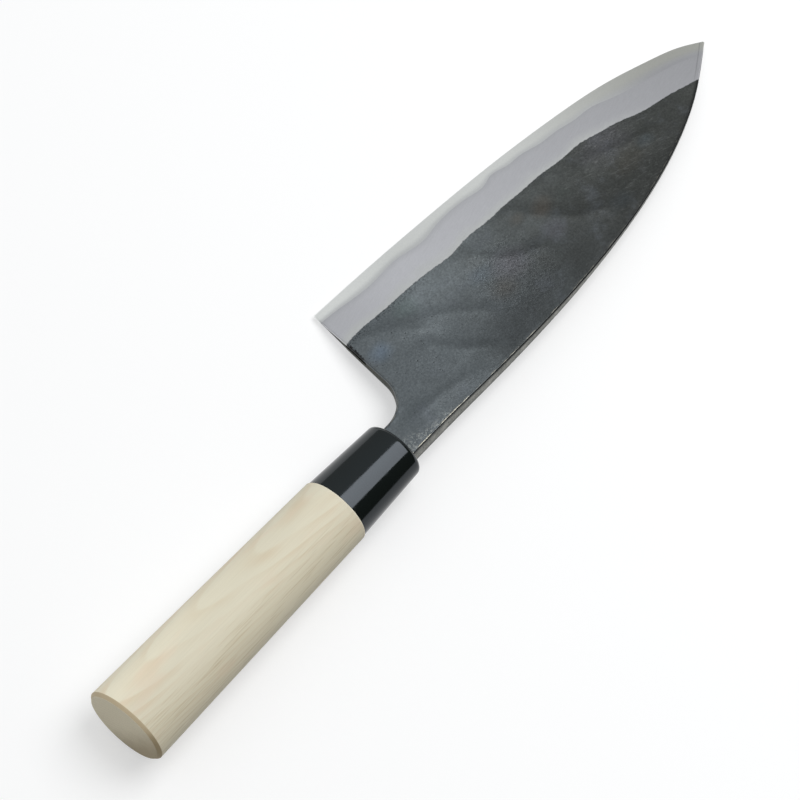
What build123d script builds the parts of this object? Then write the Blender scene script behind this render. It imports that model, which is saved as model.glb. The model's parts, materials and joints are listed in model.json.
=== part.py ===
from build123d import *
import math
import os

# Deba kitchen knife with a forge-black blade and an oval wooden handle.
# It is modelled lying on its right cheek, as it rests on a table.
#
# The knife's own frame, used until the last step: +X runs along the handle
# to the tip, +Y points from the spine to the cutting edge, and +Z stands out
# of the left cheek. The origin is the middle of the ferrule's front face.

# Blade outline
edge_length = 165.2  # heel corner to tip, along the handle
heel_reach = 19.9  # ferrule front to heel corner
heel_drop = 51.95  # handle axis to heel corner
tip_drop = 22.5  # handle axis to tip
spine_height = 6.8  # spine above the handle axis at the neck
neck_drop = 6.7  # handle axis to the underside of the neck
choil_set_back = 5.4  # how far the choil leans back over its depth
choil_radius = 12.5  # finger radius between choil and neck

# Blade thickness
spine_thickness = 6.6  # at the neck
shinogi_thickness = 3.4  # at the heel, where the bevel starts
edge_land = 0.22  # flat left along the cutting edge
tip_land = 0.5  # height of the blunt point
bevel_width = 15.6

# Hard steel core, laid into the split edge of the iron
core_depth = 18.0
core_thickness_share = 0.34  # of the blade at the shinogi
root_depth_share = 0.62  # most of the blade's height that the slit may take
cheek_least_share = 0.06  # least cheek left above the bevel, of the height

# Tang
tang_length = 86.0  # behind the ferrule's front face
tang_width = 10.0
tang_thickness = 5.0
tang_end_width = 5.4
tang_end_thickness = 2.8
tang_offset = 0.3  # towards the edge, from the handle axis
neck_seat = 1.7  # how far the neck enters the ferrule

# Handle
handle_length = 129.6  # butt to the ferrule's front face
ferrule_length = 29.5
butt_half_width = 14.7
butt_half_height = 13.0
joint_half_width = 12.5
joint_half_height = 11.25
front_half_width = 11.0
front_half_height = 9.4
butt_chamfer = 1.1
shoulder_chamfer = 0.45
ferrule_inset = 0.35  # the wood stands proud of the ferrule by this
ferrule_wall = 1.9
ferrule_front_wall = 3.4
ferrule_round = 1.9
tenon_clearance = 0.12
tenon_end_gap = 0.5
mouth_clearance = 0.45  # slot in the ferrule round the neck
channel_clearance = 0.7  # bored channel round the tang
channel_end_gap = 4.0

overrun = 6.0  # how far cuts run past what they cut

# Stations along the edge from heel to tip, the one before the heel being
# behind the choil. Each row: place, spine, edge, bevel, spine thickness and
# shinogi thickness, as shares of the sizes above.
station_shares = [
    (-0.20, 0.000, -0.045, 1.00, 1.00, 1.03),
    (0.00, 0.000, 0.000, 1.00, 0.96, 1.00),
    (0.15, -0.017, 0.046, 1.00, 0.81, 0.92),
    (0.32, -0.010, 0.121, 1.00, 0.62, 0.82),
    (0.50, 0.054, 0.223, 0.97, 0.42, 0.66),
    (0.67, 0.200, 0.363, 0.95, 0.30, 0.52),
    (0.80, 0.402, 0.520, 1.00, 0.25, 0.44),
    (0.90, 0.643, 0.707, 1.00, 0.21, 0.38),
    (0.96, 0.840, 0.850, 1.00, 0.17, 0.32),
    (1.00, 0.983, 1.000, 1.00, 0.14, 0.26),
]


def across(x):
    """Plane square to the handle at x, with its own X along +Y."""
    return Plane(origin=(x, 0, 0), x_dir=(0, 1, 0), z_dir=(1, 0, 0))


def half_section(row):
    """Place, spine, shinogi, edge and the two half thicknesses of a station."""
    place_share, spine_share, edge_share, bevel_share, spine_thick_share, shinogi_thick_share = row
    x = heel_reach + edge_length * place_share
    spine_y = -spine_height + (tip_drop + spine_height) * spine_share
    edge_y = heel_drop - (heel_drop - tip_drop) * edge_share
    if edge_y - spine_y < tip_land:
        edge_y = spine_y + tip_land
    height = edge_y - spine_y
    bevel_y = min(bevel_width * bevel_share, height * (1 - cheek_least_share))
    return (
        x,
        spine_y,
        edge_y - bevel_y,
        edge_y,
        spine_thickness * spine_thick_share / 2,
        shinogi_thickness * shinogi_thick_share / 2,
    )


def blade_envelope():
    """Whole blade before the choil is cut and the core is laid in."""
    sections = []
    for row in station_shares:
        x, spine_y, shinogi_y, edge_y, spine_half, shinogi_half = half_section(row)
        land_half = edge_land / 2
        outline = Polyline(
            (spine_y, -spine_half),
            (shinogi_y, -shinogi_half),
            (edge_y, -land_half),
            (edge_y, land_half),
            (shinogi_y, shinogi_half),
            (spine_y, spine_half),
            close=True,
        )
        sections.append(across(x) * make_face(outline))
    return loft(sections)


def core_slab():
    """Slab that the hard steel takes up, running out past edge, heel and tip."""
    sections = []
    for row in station_shares:
        x, spine_y, shinogi_y, edge_y, spine_half, shinogi_half = half_section(row)
        depth = min(core_depth, (edge_y - spine_y) * root_depth_share)
        half = shinogi_half * core_thickness_share
        outline = Polyline(
            (edge_y - depth, -half),
            (edge_y + overrun, -half),
            (edge_y + overrun, half),
            (edge_y - depth, half),
            close=True,
        )
        sections.append(across(x) * make_face(outline))
    return loft(sections)


def choil_cutter():
    """What is cut away behind the heel and under the neck."""
    corner_x = heel_reach - choil_set_back
    lean = choil_set_back / (heel_drop - neck_drop)
    back_x = -handle_length
    under_y = heel_drop + bevel_width
    curve = FilletPolyline(
        (back_x, neck_drop),
        (corner_x, neck_drop),
        (heel_reach + lean * (under_y - heel_drop), under_y),
        radius=choil_radius,
    )
    closing = Polyline(curve @ 1, (back_x, under_y), curve @ 0)
    profile = make_face(curve + closing)
    return extrude(profile, amount=spine_thickness, both=True)


def tapered_bar(x_from, x_to, grow):
    """Bar along the tang's taper between two places, wider all round by grow."""
    faces = []
    for x in (x_from, x_to):
        share = -x / tang_length
        width = tang_width + (tang_end_width - tang_width) * share + grow * 2
        thickness = tang_thickness + (tang_end_thickness - tang_thickness) * share + grow * 2
        section = Pos(tang_offset, 0) * Rectangle(width, thickness)
        faces.append(across(x) * section)
    return loft(faces, ruled=True)


def oval_body(sizes):
    """Straight-sided body through ovals, each given as place and half sizes."""
    return loft([across(x) * Ellipse(a, b) for x, a, b in sizes], ruled=True)


# Blade: envelope, less the choil, with the neck ending inside the ferrule
envelope = blade_envelope() - choil_cutter()
behind_neck = Pos(-handle_length, 0, 0) * Box(
    handle_length - neck_seat,
    (heel_drop + spine_height) * 2,
    spine_thickness * 2,
    align=(Align.MIN, Align.CENTER, Align.CENTER),
)
envelope = envelope - behind_neck
slab = core_slab()
edge_core = envelope & slab
blade_body = (envelope - slab) + tapered_bar(-tang_length, -neck_seat, 0)


# Ferrule: a moulded cap with a closed front, slotted for the neck
def handle_half_sizes(x, inset):
    """Half width and half height of the ferrule's taper at x."""
    share = -x / ferrule_length
    return (
        front_half_width + (joint_half_width - front_half_width) * share - inset,
        front_half_height + (joint_half_height - front_half_height) * share - inset,
    )


ferrule_outer = oval_body(
    [
        (-ferrule_length, *handle_half_sizes(-ferrule_length, ferrule_inset)),
        (0, *handle_half_sizes(0, ferrule_inset)),
    ]
)
front_edge = ferrule_outer.edges().sort_by(Axis.X)[-1]
ferrule_outer = fillet(front_edge, ferrule_round)
bore_inset = ferrule_inset + ferrule_wall
ferrule_bore = oval_body(
    [
        (-ferrule_length, *handle_half_sizes(-ferrule_length, bore_inset)),
        (-ferrule_front_wall, *handle_half_sizes(-ferrule_front_wall, bore_inset)),
    ]
)
slot_width = spine_height + neck_drop + mouth_clearance * 2
slot_height = spine_thickness + mouth_clearance * 2
slot_centre = (neck_drop - spine_height) / 2
mouth_slot = Pos(-ferrule_front_wall, slot_centre, 0) * Box(
    ferrule_front_wall,
    slot_width,
    slot_height,
    align=(Align.MIN, Align.CENTER, Align.CENTER),
)
ferrule_cap = ferrule_outer - ferrule_bore - mouth_slot

# Wooden grip: oval body with a tenon in the ferrule and a channel for the tang
shoulder_x = -ferrule_length - shoulder_chamfer
wood_outer = oval_body(
    [
        (-handle_length, butt_half_width - butt_chamfer, butt_half_height - butt_chamfer),
        (-handle_length + butt_chamfer, butt_half_width, butt_half_height),
        (shoulder_x, joint_half_width, joint_half_height),
        (-ferrule_length, joint_half_width - shoulder_chamfer, joint_half_height - shoulder_chamfer),
    ]
)
tenon_end = -ferrule_front_wall - tenon_end_gap
tenon_inset = bore_inset + tenon_clearance
tenon = oval_body(
    [
        (-ferrule_length, *handle_half_sizes(-ferrule_length, tenon_inset)),
        (tenon_end, *handle_half_sizes(tenon_end, tenon_inset)),
    ]
)
channel_end = -tang_length - channel_end_gap
channel = tapered_bar(channel_end, tenon_end, channel_clearance)
wood_grip = wood_outer + tenon - channel

# Resin round the tang in the channel, and round the neck in the slot
tang_bedding = tapered_bar(channel_end, tenon_end, channel_clearance)
tang_bedding = tang_bedding - tapered_bar(-tang_length, -neck_seat, 0)
mouth_seal = mouth_slot - blade_body

# At rest the knife touches the table with one place of the handle and with
# the fullest point of the belly. The table is the plane z = level + x * fall
# + y * slope, whose trace in the blade's plane runs parallel to the chord
# from heel to tip.
chord = (heel_drop - tip_drop) / edge_length
belly = max(y_edge + chord * x for x, _, _, y_edge, _, _ in map(half_section, station_shares[1:]))
handle_places = [
    (-handle_length + butt_chamfer, butt_half_width, butt_half_height),
    (shoulder_x, joint_half_width, joint_half_height),
    (-ferrule_round, *handle_half_sizes(-ferrule_round, ferrule_inset)),
]
slope = max(
    (half_height - edge_land / 2) / math.sqrt((belly - chord * x) ** 2 - half_width**2)
    for x, half_width, half_height in handle_places
)
fall = chord * slope
level = -belly * slope - edge_land / 2
table = Plane(origin=(0, 0, level), x_dir=(1, 0, fall), z_dir=(-fall, -slope, 1))

pieces = {
    "blade_body": blade_body,
    "edge_core": edge_core,
    "wood_grip": wood_grip,
    "ferrule_cap": ferrule_cap,
    "tang_bedding": tang_bedding,
    "mouth_seal": mouth_seal,
}
laid = {name: table.to_local_coords(shape) for name, shape in pieces.items()}
box = laid["wood_grip"].bounding_box()
for shape in laid.values():
    box = box.add(shape.bounding_box())
middle = (box.min + box.max) / 2

os.makedirs("parts", exist_ok=True)
for name, shape in laid.items():
    placed = Pos(-middle.X, -middle.Y, -box.min.Z) * shape
    export_step(placed, f"parts/{name}.step")
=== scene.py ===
# Deba kitchen knife: forge-black blade, ho wood handle and black resin ferrule.
# Objects are in metres, the knife's own sizes in millimetres. A section holds a piece.
import json
import math
import random
from functools import partial

import bpy
import numpy as np
from mathutils import Matrix, Vector, noise
from mathutils.geometry import delaunay_2d_cdt


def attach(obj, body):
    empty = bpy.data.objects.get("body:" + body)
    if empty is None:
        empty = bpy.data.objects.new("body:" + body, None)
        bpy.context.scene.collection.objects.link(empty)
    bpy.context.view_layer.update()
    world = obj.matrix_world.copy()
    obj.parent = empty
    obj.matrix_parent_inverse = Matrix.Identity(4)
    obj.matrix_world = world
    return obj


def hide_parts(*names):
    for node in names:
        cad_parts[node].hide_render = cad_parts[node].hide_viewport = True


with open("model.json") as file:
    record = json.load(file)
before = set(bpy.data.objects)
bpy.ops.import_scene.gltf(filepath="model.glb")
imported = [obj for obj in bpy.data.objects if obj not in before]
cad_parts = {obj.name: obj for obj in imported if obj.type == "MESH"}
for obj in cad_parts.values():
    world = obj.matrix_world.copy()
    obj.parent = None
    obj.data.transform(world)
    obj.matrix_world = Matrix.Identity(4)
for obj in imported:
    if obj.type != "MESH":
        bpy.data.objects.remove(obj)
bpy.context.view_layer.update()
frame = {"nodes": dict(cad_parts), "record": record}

# The knife lies on its right cheek, leaning on belly and handle. Its own frame
# has X along the handle to the tip, Y from spine to edge and Z out of the left
# cheek, with the origin in the middle of the ferrule's front face.
MM = 0.001
HANDLE_LENGTH = 129.6
mounts = {mount["name"]: mount for mount in frame["record"]["mounts"]}
along = -Vector(mounts["butt_face"]["axis"])
outward = Vector(mounts["left_cheek"]["axis"])
sideways = outward.cross(along)
corner = Vector(mounts["butt_face"]["pos_m"]) + along * HANDLE_LENGTH * MM
knife_turn = Matrix((along, sideways, outward)).transposed()
laid_down = Matrix.Translation(corner) @ knife_turn.to_4x4()


# View: a long lens looks down on the knife from beyond the butt, with the
# camera rolled so that the blade points to the upper right.
VIEW_TARGET = Vector((-13.4, -8.3, 8.3)) * MM
VIEW_AZIMUTH = math.radians(-152.74)
VIEW_ELEVATION = math.radians(66.57)
VIEW_ROLL = math.radians(14.40)
VIEW_DISTANCE = 1.524
LENS = 214.2

view_back = Vector((
    math.cos(VIEW_ELEVATION) * math.cos(VIEW_AZIMUTH),
    math.cos(VIEW_ELEVATION) * math.sin(VIEW_AZIMUTH),
    math.sin(VIEW_ELEVATION),
))
level_right = Vector((0, 0, 1)).cross(view_back).normalized()
level_up = view_back.cross(level_right)
view_right = level_right * math.cos(VIEW_ROLL) + level_up * math.sin(VIEW_ROLL)
view_up = view_back.cross(view_right)


def put_in_scene(name, data):
    """A new object with its data, linked into the scene."""
    made = bpy.data.objects.new(name, data)
    bpy.context.scene.collection.objects.link(made)
    return made


camera_data = bpy.data.cameras.new("camera")
camera_data.lens = LENS
camera_data.sensor_width = 36
camera_data.clip_start = 0.05
camera_data.clip_end = 60
camera = put_in_scene("camera", camera_data)
camera.matrix_world = (
    Matrix.Translation(VIEW_TARGET + view_back * VIEW_DISTANCE)
    @ Matrix((view_right, view_up, view_back)).transposed().to_4x4()
)
bpy.context.scene.camera = camera
bpy.context.scene.view_settings.view_transform = "Standard"


# Table and light: a white table top, a soft box overhead on the tip's side, and
# a surround that is pale on the edge side and dim on the spine side.
TABLE_HALF = 12.0
TABLE_HEX = "#C2C2C2"
TABLE_GLOW = 0.49
SOFT_BOX_WAY = knife_turn @ Vector((0.379, -0.286, 0.88))
SOFT_BOX_DISTANCE = 1.1
SOFT_BOX_SIDE = 0.80
SOFT_BOX_WATTS = 8.3
PALE_WAY = knife_turn @ Vector((-0.12, 0.96, 0.25))
PALE_LEVEL = 0.64
DIM_LEVEL = 0.11
FACING_SPAN = (-0.45, 0.15)
HORIZON_SHARE = 0.62
HEIGHT_SPAN = (0.1, 0.75)
SKY_HEX = "#FAFDFF"
# Node settings: a Map Range that eases in and out, and what Math nodes do
SOFTLY = {"interpolation_type": "SMOOTHSTEP"}
TIMES = {"operation": "MULTIPLY"}
TIMES_PLUS = {"operation": "MULTIPLY_ADD"}
LESS = {"operation": "SUBTRACT"}


def srgb(code):
    """Linear colour of a hex code, with full alpha."""
    values = [int(code[i:i + 2], 16) / 255 for i in (1, 3, 5)]
    linear = [v / 12.92 if v <= 0.04045 else ((v + 0.055) / 1.055) ** 2.4 for v in values]
    return (*linear, 1.0)


def add_node(tree, kind, inputs=(), **settings):
    """Adds a node with its settings and gives back its first open output. Inputs are
    values, hex colours or other nodes' outputs, in the sockets' order or by name."""
    made = tree.nodes.new(kind if kind.startswith("Geometry") else "ShaderNode" + kind)
    for name, value in settings.items():
        setattr(made, name, value)
    open_inputs = [socket for socket in made.inputs if socket.enabled]
    for key, value in inputs.items() if isinstance(inputs, dict) else enumerate(inputs):
        socket = made.inputs[key] if isinstance(key, str) else open_inputs[key]
        if isinstance(value, bpy.types.NodeSocket):
            tree.links.new(value, socket)
        else:
            socket.default_value = srgb(value) if isinstance(value, str) else value
    return next((socket for socket in made.outputs if socket.enabled), None)


def new_material(name):
    """An empty material, and the function that adds a node to it."""
    material = bpy.data.materials.new(name)
    material.use_nodes = True
    material.node_tree.nodes.clear()
    return material, partial(add_node, material.node_tree)


# Laminate: even white, seen bright by the camera and in mirrors and glass
white_laminate, add = new_material("white_laminate")
ray = add("LightPath").node.outputs
seen = add("Math", [ray["Is Camera Ray"], ray["Is Glossy Ray"]], operation="MAXIMUM")
seen = add("Math", [seen, ray["Is Transmission Ray"]], operation="MAXIMUM")
glow = add("Math", [seen, TABLE_GLOW], **TIMES)
matt = add("BsdfDiffuse", {"Color": TABLE_HEX})
shine = add("Emission", {"Color": "#FFFFFF", "Strength": glow})
add("OutputMaterial", {"Surface": add("AddShader", [matt, shine])})
square = ((-1, -1), (1, -1), (1, 1), (-1, 1))
table_mesh = bpy.data.meshes.new("table_top")
table_mesh.from_pydata([(x * TABLE_HALF, y * TABLE_HALF, 0) for x, y in square], [], [(0, 1, 2, 3)])
table_mesh.materials.append(white_laminate)
table = put_in_scene("table_top", table_mesh)

soft_box_data = bpy.data.lights.new("soft_box", "AREA")
soft_box_data.size = SOFT_BOX_SIDE
soft_box_data.energy = SOFT_BOX_WATTS
soft_box = put_in_scene("soft_box", soft_box_data)
soft_box.rotation_mode = "QUATERNION"
soft_box.rotation_quaternion = SOFT_BOX_WAY.to_track_quat("Z", "Y")
soft_box.location = VIEW_TARGET + SOFT_BOX_WAY.normalized() * SOFT_BOX_DISTANCE

world = bpy.data.worlds.new("studio")
world.use_nodes = True
world.node_tree.nodes.clear()
add = partial(add_node, world.node_tree)
way = add("TexCoord").node.outputs["Generated"]
facing = add("VectorMath", [way, PALE_WAY.normalized()], operation="DOT_PRODUCT")
level = add("MapRange", [facing, *FACING_SPAN, DIM_LEVEL, PALE_LEVEL], **SOFTLY)
height = add("SeparateXYZ", [way]).node.outputs["Z"]
overhead = add("MapRange", [height, *HEIGHT_SPAN, HORIZON_SHARE, 1.0])
strength = add("Math", [level, overhead], **TIMES)
sky = add("Background", {"Color": SKY_HEX, "Strength": strength})
add("OutputWorld", {"Surface": sky})
bpy.context.scene.world = world


# Blade body: one forging of soft iron, black with forge scale on the cheeks,
# ground bare along the bevels and linished on the spine and in the choil. The
# cheeks keep shallow hammer dents with crests between them. It carries the tang.
NECK_END = -1.65
HEEL_X, HEEL_Y = 19.9, 51.95
TIP_X = 185.1
NECK_Y = 6.7
CHOIL_SET_BACK = 5.4
CHOIL_RADIUS = 12.5
STATIONS = [-13.1, 19.9, 44.7, 72.8, 102.5, 130.6, 152.1, 168.6, 178.5, 185.1]
SPINE_Y = [-6.8, -6.8, -7.3, -7.1, -5.2, -0.95, 5.0, 12.05, 17.8, 22.0]
EDGE_Y = [53.3, 51.95, 50.6, 48.4, 45.4, 41.25, 36.65, 31.15, 26.9, 22.5]
SPINE_HALF = [3.3, 3.17, 2.67, 2.05, 1.39, 0.99, 0.83, 0.69, 0.56, 0.46]
SHINOGI_HALF = [1.75, 1.70, 1.56, 1.39, 1.12, 0.88, 0.75, 0.65, 0.54, 0.44]
LAND_HALF = 0.11
BEVEL_WIDTH = 15.6
# Where the ground bevel ends and where the hard core shows, up from the edge
BEVEL_WANDER = [
    (-5, 15.7), (19, 15.7), (24, 15.2), (31, 15.4), (38, 15.6), (49, 15.6), (56, 15.9), (61, 16.4),
    (66, 16.6), (71, 15.9), (76, 15.4), (82, 15.7), (91, 15.2), (100, 15.0), (109, 14.5), (118, 14.6),
    (127, 13.9), (134, 14.8), (142, 15.7), (148, 16.9), (153, 17.1), (160, 16.4), (165, 16.2),
    (171, 15.9), (186, 15.5),
]
CORE_WANDER = [
    (-5, 3.5), (20, 3.6), (29, 4.4), (37, 5.3), (45, 5.1), (53, 4.5), (60, 5.5), (66, 5.7), (71, 4.6),
    (77, 3.9), (87, 4.2), (94, 4.5), (98, 3.2), (105, 4.1), (110, 3.9), (118, 4.9), (126, 4.8),
    (133, 5.3), (141, 5.0), (146, 6.0), (156, 6.8), (166, 6.4), (176, 6.2), (186, 6.0),
]
# The rounded corner of spine and choil, the mesh's spacing and its levels down the wall
ARRIS_ROUND = 0.55
ARRIS_THICK_SHARE = 0.45
ARRIS_ROWS = (0.08, 0.3, 0.6, 1.0)
LATTICE = 0.8
ROW_SHARE = 0.866
LINE_GAP = 0.35
HAMMER_FADE = 2.5
SWELL_HEIGHT, RIPPLE_HEIGHT = 0.13, 0.025
WALL_LEVELS = [1.0, 0.80, 0.74, 0.68, 0.05, -0.02, -0.45, -0.80, -1.0]
SLIT_FROM, SLIT_TO, SLIT_DEPTH, SLIT_LEVELS = 27.4, 36.6, 1.6, (0.0, 0.77)
# Crests between the hammer dents of the left cheek: height, reach and line
LEFT_CRESTS = [
    (0.42, 8.5, [(34.6, 27.8), (40.6, 23.6), (46.1, 20.6), (52.2, 15.1), (56, 11)]),
    (0.46, 8.0, [(35.5, 15.1), (39.9, 7.0), (45.0, 2.1)]),
    (0.24, 5.5, [(14.4, 1.5), (24.8, 0.6), (32.6, -1.2)]),
    (0.45, 8.5, [(69.9, 27.1), (73.6, 20.4), (80, 15.1), (85.9, 12.8)]),
    (0.41, 8.5, [(92.1, 29.4), (93.9, 23.7), (98.8, 16.7), (104.5, 9.9), (111, 6.5)]),
    (0.28, 7.0, [(124, 22), (134, 17), (144, 14)]),
    (0.25, 6.0, [(24, 34), (31, 29), (37, 22)]),
]
# Crests are steeper on their left and reach further on their right
CREST_LEAN = 0.42
CREST_BLUNT = 0.4
RIGHT_CREST_COUNT = 12
CREST_SEED = 7


def through(xs, ys):
    """Smooth curve through given points, as a function of x."""
    xs, ys = np.array(xs, float), np.array(ys, float)
    steps = np.diff(xs)
    slopes = np.diff(ys) / steps
    count = len(xs)
    matrix = np.eye(count)
    right = np.zeros(count)
    for i in range(1, count - 1):
        matrix[i, i - 1:i + 2] = steps[i - 1], 2 * (steps[i - 1] + steps[i]), steps[i]
        right[i] = 6 * (slopes[i] - slopes[i - 1])
    bends = np.linalg.solve(matrix, right)

    def value(x):
        i = np.clip(np.searchsorted(xs, x) - 1, 0, count - 2)
        a, b, h = xs[i + 1] - x, x - xs[i], steps[i]
        return (
            (bends[i] * a ** 3 + bends[i + 1] * b ** 3) / (6 * h)
            + (ys[i] / h - bends[i] * h / 6) * a
            + (ys[i + 1] / h - bends[i + 1] * h / 6) * b
        )

    return value


spine_at = through(STATIONS, SPINE_Y)
edge_at = through(STATIONS, EDGE_Y)
spine_half_at = through(STATIONS, SPINE_HALF)
shinogi_half_at = through(STATIONS, SHINOGI_HALF)
bevel_width_at = through(*zip(*BEVEL_WANDER))
core_width_at = through(*zip(*CORE_WANDER))


def line_along(function, start, stop, ragged, seed):
    """Points (x, function(x)) every 0.6 mm from start to stop, slightly ragged."""
    points = []
    for x in np.linspace(start, stop, round(abs(stop - start) / 0.6) + 1):
        bumps = noise.noise(Vector((x / 1.3, seed, 0))) + 0.6 * noise.noise(Vector((x / 0.5, seed, 5)))
        points.append((x, float(function(x)) + ragged * bumps))
    return points


# Outline, from the neck along the spine to the tip and back along the edge,
# then up the choil, round the finger radius and along the neck
spine_line = line_along(spine_at, NECK_END, TIP_X, 0.05, 3)
edge_line = line_along(edge_at, TIP_X, HEEL_X, 0, 0)
heel = Vector((HEEL_X, HEEL_Y))
choil_corner = Vector((HEEL_X - CHOIL_SET_BACK, NECK_Y))
rising = (heel - choil_corner).normalized()
half_turn = math.acos(-rising.x) / 2
arc_start = choil_corner + rising * CHOIL_RADIUS / math.tan(half_turn)
arc_middle = arc_start + Vector((-rising.y, rising.x)) * CHOIL_RADIUS
first_turn = math.atan2(arc_start.y - arc_middle.y, arc_start.x - arc_middle.x)
arc_turns = np.linspace(first_turn, first_turn - math.pi + half_turn * 2, 31)
choil_line = [tuple(heel.lerp(arc_start, t)) for t in np.linspace(0, 1, 60)]
choil_line += [
    (arc_middle.x + CHOIL_RADIUS * math.cos(t), arc_middle.y + CHOIL_RADIUS * math.sin(t))
    for t in arc_turns[1:]
]
choil_line += [(x, NECK_Y) for x in np.linspace(choil_line[-1][0], NECK_END, 9)[1:]]
outline = np.array(spine_line + edge_line[:-1] + choil_line)
outline_next = np.roll(outline, -1, axis=0)
outline_ways = outline_next - outline
is_arris = np.ones(len(outline), bool)
is_arris[len(spine_line) - 1:len(spine_line) + len(edge_line) - 1] = False
bevel_line = line_along(lambda x: edge_at(x) - bevel_width_at(x), 10, TIP_X - 3, 0.20, 11)
core_line = line_along(lambda x: edge_at(x) - core_width_at(x), 10, TIP_X, 0.06, 17)
bevel_xs, bevel_ys = map(np.array, zip(*bevel_line))
core_xs, core_ys = map(np.array, zip(*core_line))


def line_distance(points, starts, ways):
    """Distance from each point to the nearest of some straight pieces, and how far
    of that is to the piece's right."""
    nearest = np.full(len(points), np.inf)
    to_right = np.zeros(len(points))
    for start, way in zip(starts, ways):
        to = points - start
        share = np.clip(to @ way / max(way @ way, 1e-12), 0, 1)
        away = np.linalg.norm(to - share[:, None] * way, axis=1)
        turned = (to[:, 0] * way[1] - to[:, 1] * way[0]) / max(np.linalg.norm(way), 1e-6)
        to_right = np.where(away <= nearest + 1e-9, turned, to_right)
        nearest = np.minimum(nearest, away)
    return nearest, to_right


def inside(points):
    """Which points lie within the blade's outline."""
    crossings = np.zeros(len(points), int)
    for (x, y), (way_x, way_y) in zip(outline, outline_ways):
        if way_y:
            share = (points[:, 1] - y) / way_y
            crossings += (share >= 0) & (share < 1) & (x + share * way_x > points[:, 0])
    return crossings % 2 == 1


def inset_of(line, distance):
    """The line moved into the blade by a distance; the outline runs with the blade on its left."""
    points = np.array(line)
    ways = np.gradient(points, axis=0)
    ways /= np.linalg.norm(ways, axis=1)[:, None]
    return points + np.stack((-ways[:, 1], ways[:, 0]), 1) * distance


# Flat plan of the blade: outline, arris rows, bevel and core lines, lattice
plan_points = [tuple(p) for p in outline]
plan_edges = [(i, (i + 1) % len(outline)) for i in range(len(outline))]
plan_lines = [inset_of(line, ARRIS_ROUND * row) for line in (spine_line, choil_line) for row in ARRIS_ROWS]
for line in plan_lines + [bevel_line, core_line]:
    line = np.array(line)
    line = [tuple(p) for p in line[inside(line)]]
    plan_edges += [(len(plan_points) + i, len(plan_points) + i + 1) for i in range(len(line) - 1)]
    plan_points += line
rows = np.arange(int((HEEL_Y + 10) / (LATTICE * ROW_SHARE)) + 1)
columns = np.arange(int((TIP_X + 4) / LATTICE))
row_grid, column_grid = np.meshgrid(rows, columns)
lattice_x = NECK_END + (column_grid + 0.5 * (row_grid % 2)) * LATTICE
lattice = np.stack((lattice_x, row_grid * LATTICE * ROW_SHARE - 8), -1).reshape(-1, 2)
to_bevel = np.abs(lattice[:, 1] - np.interp(lattice[:, 0], bevel_xs, bevel_ys))
to_core = np.abs(lattice[:, 1] - np.interp(lattice[:, 0], core_xs, core_ys))
lattice = lattice[np.minimum(to_bevel, to_core) > LINE_GAP]
lattice = lattice[inside(lattice)]
lattice = lattice[line_distance(lattice, outline, outline_ways)[0] > ARRIS_ROUND + 0.3]
plan_points += [tuple(p) for p in lattice]
plan = delaunay_2d_cdt([Vector(p) for p in plan_points], plan_edges, [list(range(len(outline)))], 1, 1e-5)
plan_xy = np.array([(p.x, p.y) for p in plan[0]])
plan_faces = [tuple(face) for face in plan[2] if len(face) == 3]
to_arris, _ = line_distance(plan_xy, outline[is_arris], outline_ways[is_arris])


def crests_of(side):
    """Crests of one cheek: the left one's are listed, the right one's are scattered."""
    if side > 0:
        return LEFT_CRESTS
    draw = random.Random(CREST_SEED)
    crests = []
    for _ in range(RIGHT_CREST_COUNT):
        x, y, turn = draw.uniform(15, 150), draw.uniform(0, 30), math.radians(draw.uniform(-60, 10))
        line = [(x, y)]
        for _ in range(4):
            x, y = x + 4 * math.cos(turn), y + 4 * math.sin(turn)
            turn += draw.uniform(-0.15, 0.35)
            line.append((x, y))
        crests.append((draw.uniform(0.25, 0.6), draw.uniform(6.5, 8.5), line))
    return crests


def cheek_heights(side):
    """Half thickness of the blade at the plan's points, with the hammer's relief."""
    x, y = plan_xy.T
    edge, spine = edge_at(x), spine_at(x)
    rise = (shinogi_half_at(x) - LAND_HALF) / BEVEL_WIDTH
    bevel_y = np.interp(x, bevel_xs, bevel_ys)
    at_bevel = LAND_HALF + rise * (edge - bevel_y)
    at_spine = np.minimum(spine_half_at(x), LAND_HALF + rise * (edge - spine))
    cheek_share = (bevel_y - y) / np.maximum(bevel_y - spine, 0.1)
    cheek = at_bevel + (at_spine - at_bevel) * cheek_share
    relief = np.array([
        SWELL_HEIGHT * noise.noise(Vector((px / 13, py / 9, side * 9)))
        + RIPPLE_HEIGHT * noise.noise(Vector((px / 3.1, py / 2.6, side * 5))) for px, py in plan_xy
    ])
    for height, reach, line in crests_of(side):
        line = np.array(line, float)
        away, to_right = line_distance(plan_xy, line[:-1], np.diff(line, axis=0))
        reach_here = reach * (1 + CREST_LEAN * to_right / np.maximum(away, 0.2))
        away = np.sqrt(away ** 2 + CREST_BLUNT ** 2) - CREST_BLUNT
        relief += height * np.clip(1 - away / reach_here, 0, 1) ** 2
    fade = np.clip((bevel_y - y) / HAMMER_FADE, 0, 1) * np.clip((x - 1) / 5, 0, 1)
    fade = fade * np.clip(to_arris / HAMMER_FADE, 0.25, 1)
    height = np.where(y < bevel_y, cheek + relief * fade, LAND_HALF + rise * (edge - y))
    round_here = np.minimum(ARRIS_ROUND, spine_half_at(x) * ARRIS_THICK_SHARE)
    in_round = np.clip(round_here - to_arris, 0, round_here)
    height -= round_here - np.sqrt(round_here ** 2 - in_round ** 2)
    return np.maximum(height, LAND_HALF)


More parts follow.
